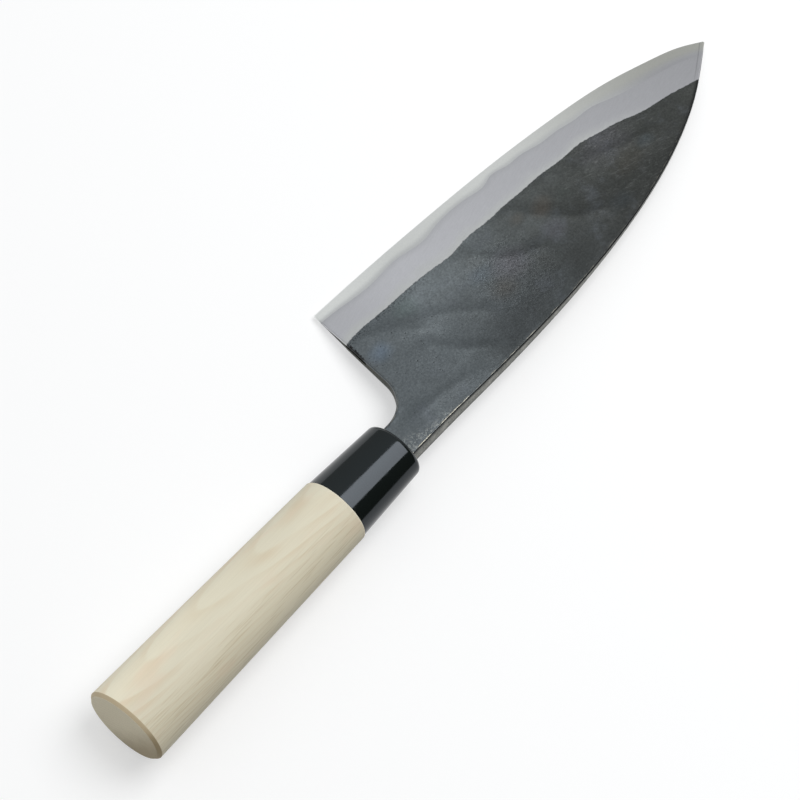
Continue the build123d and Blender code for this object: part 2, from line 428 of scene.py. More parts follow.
heights = {side: cheek_heights(side) for side in (1, -1)}
face_middles = plan_xy[np.array(plan_faces)].mean(axis=1)
in_core = face_middles[:, 1] > np.interp(face_middles[:, 0], core_xs, core_ys)
in_bevel = face_middles[:, 1] > np.interp(face_middles[:, 0], bevel_xs, bevel_ys)
face_zones = np.where(in_core, "core", np.where(in_bevel, "bevel", "cheek"))


def blade_shell(name, slots):
    """Closed body over the plan's faces whose zones have slots, with walls all round."""
    wanted = [(face, slots[zone]) for face, zone in zip(plan_faces, face_zones) if zone in slots]
    used = sorted({i for face, _ in wanted for i in face})
    number = {i: n for n, i in enumerate(used)}
    count = len(used)
    points = [(*plan_xy[i], heights[1][i]) for i in used] + [(*plan_xy[i], -heights[-1][i]) for i in used]
    levels = [1.0] * count + [-1.0] * count
    slits = [0.0] * count * 2
    faces = [tuple(number[i] for i in face) for face, _ in wanted]
    kinds = [kind for _, kind in wanted] * 2
    faces += [tuple(count + n for n in reversed(face)) for face in faces[:]]
    sides = {}
    for face, kind in zip(faces[:len(wanted)], kinds):
        for a, b in zip(face, face[1:] + face[:1]):
            sides[a, b] = kind
    rim = [(a, b, kind) for (a, b), kind in sides.items() if (b, a) not in sides]
    inward = {}
    for a, b, _ in rim:
        run = Vector(points[b][:2]) - Vector(points[a][:2])
        for n in (a, b):
            inward[n] = inward.get(n, Vector((0, 0))) + Vector((-run.y, run.x)).normalized()
    columns = {}
    for n in inward:
        x, y, top = points[n]
        bottom = points[count + n][2]
        in_slit = abs(2 * (y - SLIT_FROM) / (SLIT_TO - SLIT_FROM) - 1) if 13 < x < HEEL_X else 1.0
        slit = max(0.0, 1 - in_slit ** 4)
        column = [n]
        for level in WALL_LEVELS[1:-1]:
            z = top * (1 + level) / 2 + bottom * (1 - level) / 2
            cut = slit if SLIT_LEVELS[0] < level < SLIT_LEVELS[1] else 0.0
            push = inward[n].normalized() * SLIT_DEPTH * cut
            column.append(len(points))
            points.append((x + push.x, y + push.y, z))
            levels.append(level)
            slits.append(cut)
        columns[n] = column + [count + n]
    last = len(WALL_LEVELS) - 2
    for a, b, kind in rim:
        for step in range(last + 1):
            faces.append((columns[a][step], columns[a][step + 1], columns[b][step + 1], columns[b][step]))
            kinds.append(kind if step in (0, last) else slots["wall"])
    mesh = bpy.data.meshes.new(name)
    mesh.from_pydata([Vector(p) * MM for p in points], [], faces)
    mesh.polygons.foreach_set("material_index", kinds)
    x, y = np.array(points)[:, :2].T
    core_y, bevel_y, edge = np.interp(x, core_xs, core_ys), np.interp(x, bevel_xs, bevel_ys), edge_at(x)
    from_arris, _ = line_distance(np.stack((x, y), 1), outline[is_arris], outline_ways[is_arris])
    for attribute, values in (
        ("from_edge", (edge - y) / (edge - core_y)), ("bevel_share", (core_y - y) / (core_y - bevel_y)),
        ("from_arris", from_arris), ("wall_level", levels), ("slit", slits),
    ):
        layer = mesh.attributes.new(attribute, "FLOAT", "POINT")
        layer.data.foreach_set("value", np.array(values, np.float32))
    mesh.transform(laid_down)
    mesh.shade_smooth()
    mesh.set_sharp_from_angle(angle=math.radians(48))
    return mesh


iron_mesh = blade_shell("iron_blade", {"cheek": 0, "bevel": 1, "wall": 2})

# Black forge scale (iron oxide) on hammered iron: satin, blue-grey at the heel
# and browner towards the tip, where it is also darker as a painted falloff of
# the soft box's reflection, with heat tints, a fine grain, pits where scale has
# sprung off, bare chips along the spine's corner that also stand in for a
# painted highlight, and painted shade along the corner and beside the choil's
# slit. Its finest grain is drawn about twice as coarse as the real one, to show.
SCALE_HEEL_HEX = "#62686B"
SCALE_TIP_HEX = "#3E403E"
SCALE_CLOUD_HEX = "#6B7078"
SCALE_SCRATCH_HEX = "#8A8C8B"
SCALE_FLAKED_HEX = "#959896"
PIT_HEX = "#2B2D2E"
PIT_SPACING = 2.3
UNDER_CORNER_SHADE_HEX = "#111313"
CORNER_SHADE_HEX = "#171919"
SLIT_SHADE_HEX = "#0E0D0C"
CHIP_AND_HIGHLIGHT_HEX = "#D2CCBA"
# Heat tints of the left cheek: colour, place, reach and strength
TINTS = [
    ("#5B4A38", (100, 22), 6, 0.55), ("#584A3A", (90, 25), 4, 0.35), ("#584C3E", (67, 11), 6, 0.40),
    ("#4E4637", (132, 11), 9, 0.45), ("#5A5560", (95, 13), 6, 0.40), ("#615A63", (76, 15), 9, 0.45),
    ("#66646C", (134, 24), 13, 0.60), ("#6C7C8E", (23, 26), 5, 0.70), ("#3F5363", (141, 12), 5, 0.60),
    ("#44525E", (118, 4), 6, 0.45), ("#4C5C6C", (66, 20), 5, 0.25), ("#4A5C55", (40, 31), 6, 0.40),
    ("#3C4A46", (108, 20), 5, 0.45), ("#5C5E5B", (168, 14), 9, 0.75),
    ("#50565A", (61, 9), 8, 0.30), ("#4E5456", (44, -1), 8, 0.55), ("#484F52", (13, 2), 9, 0.75),
]
# Tints are shorter across the blade, and stay on the left cheek
TINT_LEVEL, TINT_WEIGHTS = 2.0, (1, 1.3, 4)
# Mix settings: one colour over another by a share, or multiplied into it
LAID_OVER = {"data_type": "RGBA"}
MULTIPLIED = {"data_type": "RGBA", "blend_type": "MULTIPLY"}


def knife_millimetres(add):
    """Object coordinates turned into the knife's own frame, in millimetres."""
    place, turn, _ = laid_down.inverted().decompose()
    where = add("TexCoord").node.outputs["Object"]
    given = {"Vector": where, "Location": place, "Rotation": turn.to_euler()}
    turned = add("Mapping", given, vector_type="POINT")
    return add("VectorMath", [turned, 1 / MM], operation="SCALE")


def grain_of(add, place, size_mm, detail=3.0, roughness=0.6, stretch=(1, 1, 1), turn=0.0):
    """Noise whose grains are size_mm across, times a stretch along each turned axis."""
    given = {"Vector": place, "Rotation": (0, 0, turn), "Scale": tuple(size_mm * s for s in stretch)}
    laid = add("Mapping", given, vector_type="TEXTURE")
    return add("TexNoise", {"Vector": laid, "Scale": 1.0, "Detail": detail, "Roughness": roughness})


def far_from(add, place, middle, weights):
    """Distance from a place on the knife, with a weight for each axis."""
    way = add("VectorMath", [place, middle], **LESS)
    way = add("VectorMath", [way, weights], **TIMES)
    return add("VectorMath", [way], operation="LENGTH")


def drift_at(add, place, middle, full, none, inner, outer):
    """Value that goes from inner to outer between two distances from a place."""
    far = far_from(add, place, (*middle, 0), (1, 1, 0))
    return add("MapRange", [far, full, none, inner, outer], **SOFTLY)


def where_all(add, *spans):
    """Share that eases in or out over every value's span at once."""
    share = None
    for value, *span in spans:
        eased = add("MapRange", [value, *span], **SOFTLY)
        share = add("Math", [share, eased], **TIMES) if share else eased
    return share


def close_surface(add, relief, depth_mm, strength, surface):
    """Ends a material with its shader, whose light and shade follow a relief."""
    bump = add("Bump", {"Height": relief, "Distance": depth_mm * MM, "Strength": strength})
    body = add("BsdfPrincipled", {**surface, "Normal": bump})
    add("OutputMaterial", {"Surface": body})


forge_scale, add = new_material("forge_scale_on_iron")
place = knife_millimetres(add)
x_mm, y_mm, z_mm = add("SeparateXYZ", [place]).node.outputs
drift = grain_of(add, place, 16)
# Browner towards the tip, and darker there as a painted falloff of the soft box's reflection
toward_tip = add("Math", [drift, 60.0, x_mm], **TIMES_PLUS)
toward_tip = add("MapRange", [toward_tip, 45, 155], **SOFTLY)
colour = add("Mix", [toward_tip, SCALE_HEEL_HEX, SCALE_TIP_HEX], **LAID_OVER)
for tint_hex, middle, reach, strength in TINTS:
    far = far_from(add, place, (*middle, TINT_LEVEL), TINT_WEIGHTS)
    wavy = add("Math", [drift, reach * 1.2, far], **TIMES_PLUS)
    tint = add("MapRange", [wavy, reach * 0.6, reach * 1.8, strength * 0.65, 0.0], **SOFTLY)
    colour = add("Mix", [tint, colour, tint_hex], **LAID_OVER)
# The scale is thin and pale beside the bevel, thick and dark along the spine
thin = add("MapRange", [x_mm, 60, 100, 1.75, 1.44], **SOFTLY)
thick = add("MapRange", [x_mm, 60, 100, 0.66, 0.80], **SOFTLY)
across = add("MapRange", [y_mm, 2, 32, thick, thin])
past_heel = add("MapRange", [x_mm, 30, 55], **SOFTLY)
across = add("MapRange", [past_heel, 0, 1, 1.0, across])
colour = add("Mix", [1.0, colour, across], **MULTIPLIED)
cloud = grain_of(add, place, 9, 4)
clouded = add("MapRange", [cloud, 0.5, 0.75, 0.0, 0.25], **SOFTLY)
colour = add("Mix", [clouded, colour, SCALE_CLOUD_HEX], **LAID_OVER)
fine = grain_of(add, place, 0.75, 4, 0.7)
for grain, dark, light in ((fine, 0.78, 1.22), (grain_of(add, place, 2.8, 5, 0.65), 0.93, 1.07)):
    shade = add("MapRange", [grain, 0.3, 0.7, dark, light])
    colour = add("Mix", [1.0, colour, shade], **MULTIPLIED)
# Pits are gathered in drifts, as they are where the smith's water has burst
pit_field = add(
    "TexVoronoi", {"Vector": place, "Scale": 1 / PIT_SPACING, "Randomness": 1.0},
    feature="F1", voronoi_dimensions="2D",
)
pit_reach = add("MapRange", [grain_of(add, place, 3.5, 2), 0.42, 0.60, -0.03, 0.13])
burst = drift_at(add, place, (31, 21), 9, 22, 0.0, -0.06)
pit_reach = add("Math", [pit_reach, burst], operation="ADD")
past_pit = add("Math", [pit_field, pit_reach], **LESS)
pits = add("MapRange", [past_pit, -0.05, 0.01, 1.0, 0.0], **SOFTLY)
pit_share = add("Math", [pits, 0.6], **TIMES)
# Crumbly patches, in the middle of the cheek and before the tip: fine dark grains
amid_cheek = drift_at(add, place, (74, 13), 6, 20, 1.0, 0.0)
before_tip = drift_at(add, place, (132, 27), 5, 16, 0.7, 0.0)
crumbly = add("Math", [amid_cheek, before_tip], operation="MAXIMUM")
specks = add("MapRange", [grain_of(add, place, 1.0, 3, 0.7), 0.47, 0.60], **SOFTLY)
specks = add("Math", [specks, crumbly], **TIMES)
speck_share = add("Math", [specks, 0.35], **TIMES)
# The scale breaks up into grains beside the bevel, most of all at the heel
past_bevel = add("Attribute", attribute_name="bevel_share").node.outputs["Fac"]
grains = grain_of(add, place, 0.6, 2, 0.6)
grainy = where_all(add, (past_bevel, 1.0, 1.35, 0.8, 0.0), (x_mm, 24, 60, 1.0, 0.35), (grains, 0.50, 0.62))
# Fine pale scratches are strewn over the scale towards the tip
scratches = grain_of(add, place, 0.7, 4, 0.6, (3, 1, 1), -0.4)
scratches = add("MapRange", [scratches, 0.50, 0.76], **SOFTLY)
strewn = drift_at(add, place, (130, 15), 10, 34, 0.20, 0.0)
scratches = add("Math", [scratches, strewn], **TIMES)
# Flaked, pale scale beside the ferrule, along the spine of the left cheek
near_neck = add("Math", [x_mm, 0.22, y_mm], **TIMES_PLUS)
near_neck = add("Math", [cloud, 4.0, near_neck], **TIMES_PLUS)
flakes = grain_of(add, place, 0.9, 3, 0.7)
flaked = where_all(add, (near_neck, -0.4, 3.0, 1.0, 0.0), (flakes, 0.50, 0.60), (z_mm, 0.0, 0.5))
flaked_share = add("Math", [flaked, 0.7], **TIMES)
# The cheek's corner is painted black as painted shade, which also hides the soft box's highlight on its
# rounding. In the choil the corner is torn by the slit of the open weld, and a painted shadow of the slit
# falls on the cheek beside it.
from_arris = add("Attribute", attribute_name="from_arris").node.outputs["Fac"]
level = add("Attribute", attribute_name="wall_level").node.outputs["Fac"]
level = add("Math", [level], operation="ABSOLUTE")
in_choil = where_all(add, (y_mm, 5, 8), (x_mm, 22, 25, 1.0, 0.0))
off_choil = add("Math", [in_choil, -0.85, 1.0], **TIMES_PLUS)
# Painted shade: the wall's top under the corner is darkened
under_corner_shade = add("MapRange", [level, 0.93, 0.99, 0.95, 0.0], **SOFTLY)
under_corner_shade = add("Math", [under_corner_shade, off_choil], **TIMES)
past_corner = add("Math", [x_mm, -0.0015, from_arris], **TIMES_PLUS)
# Painted shade over the corner's rounding, where it would mirror the soft box
corner_shade = add("MapRange", [past_corner, 0.20, 0.40, 0.92, 0.0], **SOFTLY)
beside_corner_shade = add("MapRange", [past_corner, 0.45, 0.90, 0.55, 0.0], **SOFTLY)
corner_shade = add("Math", [corner_shade, beside_corner_shade], operation="MAXIMUM")
corner_shade = add("Math", [corner_shade, off_choil], **TIMES)
# Painted shadow of the choil's slit on the cheek beside it, with a torn edge
from_slit = add("Math", [y_mm, (SLIT_FROM + SLIT_TO) / 2], **LESS)
from_slit = add("Math", [from_slit], operation="ABSOLUTE")
slit_shadow = add("MapRange", [from_slit, 3.0, 4.8, 0.9, 0.0], **SOFTLY)
torn = add("Math", [grain_of(add, place, 0.7, 3, 0.7), 0.5], **LESS)
torn = add("Math", [torn, 3.0, from_arris], **TIMES_PLUS)
torn = add("MapRange", [torn, 0.30, 0.60, 1.0, 0.0], **SOFTLY)
for share in (in_choil, torn):
    slit_shadow = add("Math", [slit_shadow, share], **TIMES)
# Chips of bare iron, which also stand in for a painted highlight on the corner's rounding, lie just past
# the corner, mostly near the handle
chip_and_highlight_share = add("MapRange", [x_mm, 12, 32, 0.09, 0.02], **SOFTLY)
chip_and_highlight = add("Math", [grain_of(add, place, 0.8, 3, 0.7, (9, 1, 1)), chip_and_highlight_share], operation="ADD")
chip_and_highlight = where_all(
    add, (chip_and_highlight, 0.52, 0.60), (past_corner, 0.24, 0.34), (past_corner, 0.44, 0.60, 1.0, 0.0),
    (level, 0.97, 0.998),
)
for share in (
    add("Math", [1.0, slit_shadow], **LESS),
    add("MapRange", [x_mm, 12, 90, 0.46, 0.10]),
    add("MapRange", [y_mm, 4, 12, 1.0, 0.2], **SOFTLY),
):
    chip_and_highlight = add("Math", [chip_and_highlight, share], **TIMES)
for layer, layer_hex in (
    (pit_share, PIT_HEX), (speck_share, PIT_HEX), (grainy, PIT_HEX), (scratches, SCALE_SCRATCH_HEX),
    (flaked_share, SCALE_FLAKED_HEX), (under_corner_shade, UNDER_CORNER_SHADE_HEX), (corner_shade, CORNER_SHADE_HEX),
    (slit_shadow, SLIT_SHADE_HEX), (chip_and_highlight, CHIP_AND_HIGHLIGHT_HEX),
):
    colour = add("Mix", [layer, colour, layer_hex], **LAID_OVER)
gloss = add("MapRange", [fine, 0.3, 0.7, 0.31, 0.41])
dents = add("Math", [grain_of(add, place, 0.55, 4, 0.65), pits], **LESS)
dents = add("Math", [flaked, 0.8, dents], **TIMES_PLUS)
dents = add("Math", [specks, -1.0, dents], **TIMES_PLUS)
close_surface(add, dents, 0.05, 0.8, {"Base Color": colour, "Metallic": 0.75, "Roughness": gloss})
iron_mesh.materials.append(forge_scale)

# Soft iron ground on a water stone: fine satin, slightly violet, with a paler
# and greener edge along the scale. It is lighter at the heel and darker towards
# the tip as a painted falloff of the soft box's reflection, with painted shade
# close to the heel. The stone's scratches are drawn about ten times as coarse
# as real ones, to show.
BEVEL_HEEL_HEX = "#D4D4D8"
BEVEL_TIP_HEX = "#A6A6A9"
BEVEL_SHADE_HEX = "#C2C2C6"
BEVEL_PALE_HEX = "#CED0CC"
BEVEL_WELD_HEX = "#A9AAAB"
BEVEL_END_HEX = "#8B8E8E"
BEVEL_FLECK_HEX = "#54585A"
FACET_HEX = "#6E7070"
FACET_AWAY = 1.5


def eased_tip(add, x_mm):
    """Share of the thin line where a narrow facet eases the tip's spine."""
    facet = add("Attribute", attribute_name="from_arris").node.outputs["Fac"]
    facet = add("Math", [facet, FACET_AWAY], **LESS)
    facet = add("Math", [facet], operation="ABSOLUTE")
    return where_all(add, (facet, 0.05, 0.30, 0.4, 0.0), (x_mm, 168, 176))


ground_iron, add = new_material("stone_ground_iron")
place = knife_millimetres(add)
x_mm = add("SeparateXYZ", [place])
share = add("Attribute", attribute_name="bevel_share").node.outputs["Fac"]
# Painted reflection falloff: lighter at the heel, darker towards the tip
toward_tip = add("MapRange", [x_mm, 40, 180])
colour = add("Mix", [toward_tip, BEVEL_HEEL_HEX, BEVEL_TIP_HEX], **LAID_OVER)
cloud = grain_of(add, place, 7, 3, 0.6, (1.6, 1, 1))
pale = add("Math", [cloud, 0.5, share], **TIMES_PLUS)
before_tip = (x_mm, 120, 162, 1.0, 0.0)
# Flecks of scale cling to the ragged end of the bevel
fleck = add("Math", [grain_of(add, place, 0.7, 3, 0.7), 0.10, share], **TIMES_PLUS)
for layer, layer_hex in (
    # Painted shade close to the heel
    (add("MapRange", [x_mm, 20, 62, 0.8, 0.0], **SOFTLY), BEVEL_SHADE_HEX),
    (where_all(add, (pale, 0.85, 1.25, 0.0, 0.6), before_tip), BEVEL_PALE_HEX),
    (where_all(add, (share, 0.0, 0.22, 0.28, 0.0), before_tip), BEVEL_WELD_HEX),
    (add("MapRange", [share, 0.97, 1.0, 0.0, 0.35], **SOFTLY), BEVEL_END_HEX),
    (add("MapRange", [fleck, 1.03, 1.05, 0.0, 0.75], **SOFTLY), BEVEL_FLECK_HEX),
    (eased_tip(add, x_mm), FACET_HEX),
):
    colour = add("Mix", [layer, colour, layer_hex], **LAID_OVER)
streaks = grain_of(add, place, 0.35, 3, 0.6, (9, 1, 1), math.radians(14))
satin = grain_of(add, place, 0.6, 3, 0.7)
ground = add("Math", [satin, 0.8, streaks], **TIMES_PLUS)
shade = add("MapRange", [ground, 0.6, 1.2, 0.95, 1.05])
colour = add("Mix", [1.0, colour, shade], **MULTIPLIED)
close_surface(add, ground, 0.008, 0.6, {"Base Color": colour, "Metallic": 1.0, "Roughness": 0.42})
iron_mesh.materials.append(ground_iron)

# Linished spine and choil: bare iron dulled by handling, warm grey, with cross
# marks of the belt, drawn a few times as coarse as real ones, and with painted
# shade darkening the wall's rims and a painted black band along its edges next
# to the scale. The choil holds a slit where the weld is open, painted dark as
# painted shade.
LINISHED_HEX = "#8F8F89"
LINISHED_STAIN_HEX = "#6A6C66"
LINISHED_RIM_SHADE_HEX = "#57564E"
LINISHED_BLACK_SHADE_HEX = "#131414"
CHOIL_HEX = "#3A3C34"
linished_iron, add = new_material("linished_spine_iron")
place = knife_millimetres(add)
x_mm, y_mm, _ = add("SeparateXYZ", [place]).node.outputs
belt = grain_of(add, place, 0.3, 3, 0.6, (1, 1, 10))
stain = add("Math", [belt, 0.5, grain_of(add, place, 5, 4)], **TIMES_PLUS)
stain = add("MapRange", [stain, 0.55, 0.95], **SOFTLY)
colour = add("Mix", [stain, LINISHED_HEX, LINISHED_STAIN_HEX], **LAID_OVER)
choil = add("MapRange", [y_mm, 6.8, 9.0], **SOFTLY)
off_choil = add("Math", [1.0, choil], **LESS)
level = add("Attribute", attribute_name="wall_level").node.outputs["Fac"]
level = add("Math", [level], operation="ABSOLUTE")
# Painted shade: the wall is darker at its rims than in its middle, with a black band along its edges next
# to the scale
rim = where_all(add, (level, 0.45, 0.85), (choil, 0, 1, 0.6, 0.15))
blackness = add("MapRange", [x_mm, 25, 60, 0.95, 0.75], **SOFTLY)
black_line_shade = add("MapRange", [level, 0.76, 0.84, 0.0, blackness], **SOFTLY)
black_line_shade = add("Math", [black_line_shade, off_choil], **TIMES)
# The slit is painted dark as painted shade in its recess
slit = add("Attribute", attribute_name="slit").node.outputs["Fac"]
torn = add("Math", [grain_of(add, place, 0.7, 3, 0.7), 0.5], **LESS)
slit = add("Math", [torn, 2.4, slit], **TIMES_PLUS)
slit = add("MapRange", [slit, 0.05, 0.5], **SOFTLY)
for layer, layer_hex in (
    (choil, CHOIL_HEX), (rim, LINISHED_RIM_SHADE_HEX), (black_line_shade, LINISHED_BLACK_SHADE_HEX), (slit, SLIT_SHADE_HEX),
):
    colour = add("Mix", [layer, colour, layer_hex], **LAID_OVER)
close_surface(add, belt, 0.02, 0.6, {"Base Color": colour, "Metallic": 0.9, "Roughness": 0.48})
iron_mesh.materials.append(linished_iron)


def add_piece(name, mesh, slot, *nodes):
    """Links a finished mesh as a piece of the knife that stands for CAD nodes."""
    piece = put_in_scene(name, mesh)
    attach(piece, "root")
    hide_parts(*nodes)
    return piece


add_piece("iron_blade", iron_mesh, "forge_scale_iron", "blade_body")


# Edge core: hard carbon steel laid into the split edge of the iron. Only its
# ground strip along the edge shows, paler and cleaner than the iron.
CORE_HEEL_HEX = "#E8E9E6"
CORE_TIP_HEX = "#B0B0AA"
CORE_HEEL_HIGHLIGHT_HEX = "#F5F6F3"
CORE_WELD_HEX = "#C4C5C6"
CORE_FADED_HEX = "#A6A6A9"
core_mesh = blade_shell("steel_edge", {"core": 0, "wall": 0})
hard_steel, add = new_material("stone_ground_carbon_steel")
place = knife_millimetres(add)
x_mm = add("SeparateXYZ", [place])
share = add("Attribute", attribute_name="from_edge").node.outputs["Fac"]
# Painted reflection falloff: brighter at the heel, darker towards the tip
toward_tip = add("MapRange", [x_mm, 92, 178], **SOFTLY)
colour = add("Mix", [toward_tip, CORE_HEEL_HEX, CORE_TIP_HEX], **LAID_OVER)
for layer, layer_hex in (
    # Painted highlight near the heel
    (add("MapRange", [x_mm, 26, 60, 1.0, 0.0], **SOFTLY), CORE_HEEL_HIGHLIGHT_HEX),
    (add("MapRange", [share, 0.5, 1.0, 0.0, 0.75], **SOFTLY), CORE_WELD_HEX),
    (where_all(add, (share, 0.3, 1.0), (x_mm, 138, 172)), CORE_FADED_HEX),
    (eased_tip(add, x_mm), FACET_HEX),
):
    colour = add("Mix", [layer, colour, layer_hex], **LAID_OVER)
satin = grain_of(add, place, 0.6, 3, 0.7)
shade = add("MapRange", [satin, 0.3, 0.7, 0.97, 1.03])
colour = add("Mix", [1.0, colour, shade], **MULTIPLIED)
close_surface(add, satin, 0.006, 0.5, {"Base Color": colour, "Metallic": 1.0, "Roughness": 0.38})
core_mesh.materials.append(hard_steel)
add_piece("steel_edge", core_mesh, "hard_steel", "edge_core")


# Ferrule: black moulded resin cap with a rounded, closed front that is
# slotted for the neck. It is polished, so it mirrors the soft box.
FERRULE_LENGTH = 29.5
FERRULE_ROUND = 1.9
FERRULE_INSET = 0.35
FERRULE_WALL = 1.9
FRONT_WALL = 3.4
MOUTH_CLEARANCE = 0.45
BUTT_CHAMFER = 1.1
OVAL_SIDES = 144
# Place, half width and half height of the handle's oval at the butt, joint and front
HANDLE_TAPER = [(-HANDLE_LENGTH + BUTT_CHAMFER, 14.7, 13.0), (-FERRULE_LENGTH, 12.5, 11.25), (0, 11.0, 9.4)]
TAPER_SPOTS = ("Butt", "Joint", "Front")
TAPER_SIZES = ("Place", "Half Width", "Half Height")


def turned_oval_tree():
    """Node tree that turns a section line into an oval body along the handle's
    taper. Each point of the line holds a place, an inset and a share."""
    tree = bpy.data.node_groups.new("turned_oval", "GeometryNodeTree")
    tree.interface.new_socket("Geometry", in_out="OUTPUT", socket_type="NodeSocketGeometry")
    sockets = [("Geometry", "Geometry"), ("Sides", "Int"), ("Material", "Material")]
    sockets += [(spot + " " + size, "Float") for spot in TAPER_SPOTS for size in TAPER_SIZES]
    for name, kind in sockets:
        tree.interface.new_socket(name, in_out="INPUT", socket_type="NodeSocket" + kind)
    add = partial(add_node, tree)
    given = tree.nodes.new("NodeGroupInput").outputs
    stations = add("GeometryNodeAttributeDomainSize", [given["Geometry"]], component="MESH")
    last = add("Math", [stations, 1.0], **LESS)
    sides = add("Math", [given["Sides"], 1.0], operation="ADD")
    sizes = {"Size X": last, "Size Y": 1.0, "Vertices X": stations, "Vertices Y": sides}
    grid = add("GeometryNodeMeshGrid", sizes)
    position = add("GeometryNodeInputPosition")
    here = add("SeparateXYZ", [position]).node.outputs
    station = add("Math", [last, 0.5, here["X"]], **TIMES_PLUS)
    station = add("Math", [station], operation="ROUND")
    asked = {"Geometry": given["Geometry"], "Index": station, "Value": position}
    told = add("GeometryNodeSampleIndex", asked, data_type="FLOAT_VECTOR", domain="POINT")
    told = add("SeparateXYZ", [told]).node.outputs
    turn = add("Math", [here["Y"], 0.5], operation="ADD")
    turn = add("Math", [turn, -2 * math.pi], **TIMES)
    axes = []
    for size, operation in (("Half Width", "COSINE"), ("Half Height", "SINE")):
        stretches = []
        for ends in (("Butt", "Joint"), ("Joint", "Front")):
            reach = [given[end + kind] for kind in (" Place", " " + size) for end in ends]
            stretches.append(add("MapRange", [told["X"], *reach]))
        half = add("Math", stretches, operation="ADD")
        half = add("Math", [half, given["Joint " + size]], **LESS)
        half = add("Math", [half, told["Z"]], **TIMES)
        half = add("Math", [half, told["Y"]], **LESS)
        swing = add("Math", [turn], operation=operation)
        axes.append(add("Math", [half, swing], **TIMES))
    spot = add("CombineXYZ", [told["X"], *axes])
    oval = add("GeometryNodeSetPosition", {"Geometry": grid, "Position": spot})
    oval = add("GeometryNodeMergeByDistance", {"Geometry": oval, "Distance": 1e-6})
    oval = add("GeometryNodeRealizeInstances", {"Geometry": oval})
    oval = add("GeometryNodeSetMaterial", {"Geometry": oval, "Material": given["Material"]})
    tree.links.new(oval, tree.nodes.new("NodeGroupOutput").inputs[0])
    return tree


turned_oval = turned_oval_tree()


def oval_body(name, section, material, cutter_ends):
    """Mesh of an oval body from its section line, less a four-sided bar, laid down with the knife."""
    line = bpy.data.meshes.new(name)
    line.from_pydata([(x * MM, inset * MM, share) for x, inset, share in section], [], [])
    shape = put_in_scene(name, line)
    turner = shape.modifiers.new("turned_oval", "NODES")
    turner.node_group = turned_oval
    given = {"Sides": OVAL_SIDES, "Material": material}
    for spot, values in zip(TAPER_SPOTS, HANDLE_TAPER):
        given.update({spot + " " + size: value * MM for size, value in zip(TAPER_SIZES, values)})
    for item in turned_oval.interface.items_tree:
        if item.in_out == "INPUT" and item.name in given:
            turner[item.identifier] = given[item.name]
    bar_mesh = bpy.data.meshes.new(name + "_bar")
    points = [
        Vector((x, middle + half_y * a, half_z * b)) * MM
        for x, middle, half_y, half_z in cutter_ends for a, b in square
    ]
    walls = [(i, (i + 1) % 4, 4 + (i + 1) % 4, 4 + i) for i in range(4)]
    bar_mesh.from_pydata(points, [], [(3, 2, 1, 0), (4, 5, 6, 7)] + walls)
    bar = put_in_scene(name + "_bar", bar_mesh)
    cut = shape.modifiers.new("cut", "BOOLEAN")
    cut.operation = "DIFFERENCE"
    cut.solver = "EXACT"
    cut.object = bar
    bpy.context.view_layer.update()
    mesh = bpy.data.meshes.new_from_object(shape.evaluated_get(bpy.context.evaluated_depsgraph_get()))
    bpy.data.objects.remove(shape)
    bpy.data.objects.remove(bar)
    mesh.name = name
    mesh.transform(laid_down)
    mesh.shade_smooth()
    mesh.set_sharp_from_angle(angle=math.radians(20))
    return mesh


# Resin: near black, greenish in depth, polished, with faint wipe marks
RESIN_HEX = "#0D120F"
RESIN_SHEEN_HEX = "#E9F3FF"
resin, add = new_material("polished_black_resin")
place = knife_millimetres(add)
wiped = add("MapRange", [grain_of(add, place, 3, 4), 0.3, 0.7, 0.06, 0.14])
close_surface(add, grain_of(add, place, 4, 2), 0.03, 0.5, {
    "Base Color": RESIN_HEX, "Roughness": wiped, "IOR": 1.46, "Specular Tint": RESIN_SHEEN_HEX,
})

section = [(x, FERRULE_INSET, 1) for x in np.linspace(-FERRULE_LENGTH, -FERRULE_ROUND, 36)]
for turn in np.linspace(0, math.pi / 2, 14)[1:]:
    drop = FERRULE_INSET + FERRULE_ROUND * (1 - math.cos(turn))
    section.append((-FERRULE_ROUND + FERRULE_ROUND * math.sin(turn), drop, 1))
bore_inset = FERRULE_INSET + FERRULE_WALL
section += [(0, (FERRULE_INSET + FERRULE_ROUND) * share, share) for share in (0.6, 0.05)]
section += [(-FRONT_WALL, bore_inset * share, share) for share in (0.05, 0.5, 1)]
section += [(x, bore_inset, 1) for x in (-12, -20, -FERRULE_LENGTH)]
section.append(section[0])
neck_middle = (NECK_Y + SPINE_Y[0]) / 2
neck_half = (NECK_Y - SPINE_Y[0]) / 2 + MOUTH_CLEARANCE
slot_ends = [(x, neck_middle, neck_half, SPINE_HALF[0] + MOUTH_CLEARANCE) for x in (-FRONT_WALL - 1, 1)]
ferrule_mesh = oval_body("resin_ferrule", section, resin, slot_ends)
add_piece("resin_ferrule", ferrule_mesh, "black_resin", "ferrule_cap")


# Wood grip: oval, slightly tapered ho wood, sanded bare, with a chamfered butt
# and a tenon inside the ferrule. The channel for the tang is bored into it.
SHOULDER_CHAMFER = 0.45
TENON_CLEARANCE = 0.12
TENON_GAP = 0.5
TANG_LENGTH = 86.0
TANG_HALVES = ((5.0, 2.5), (2.7, 1.4))
TANG_MIDDLE = 0.3
CHANNEL_CLEARANCE = 0.7
CHANNEL_GAP = 4.0
BUTT_X = -HANDLE_LENGTH
SHOULDER_X = -FERRULE_LENGTH - SHOULDER_CHAMFER

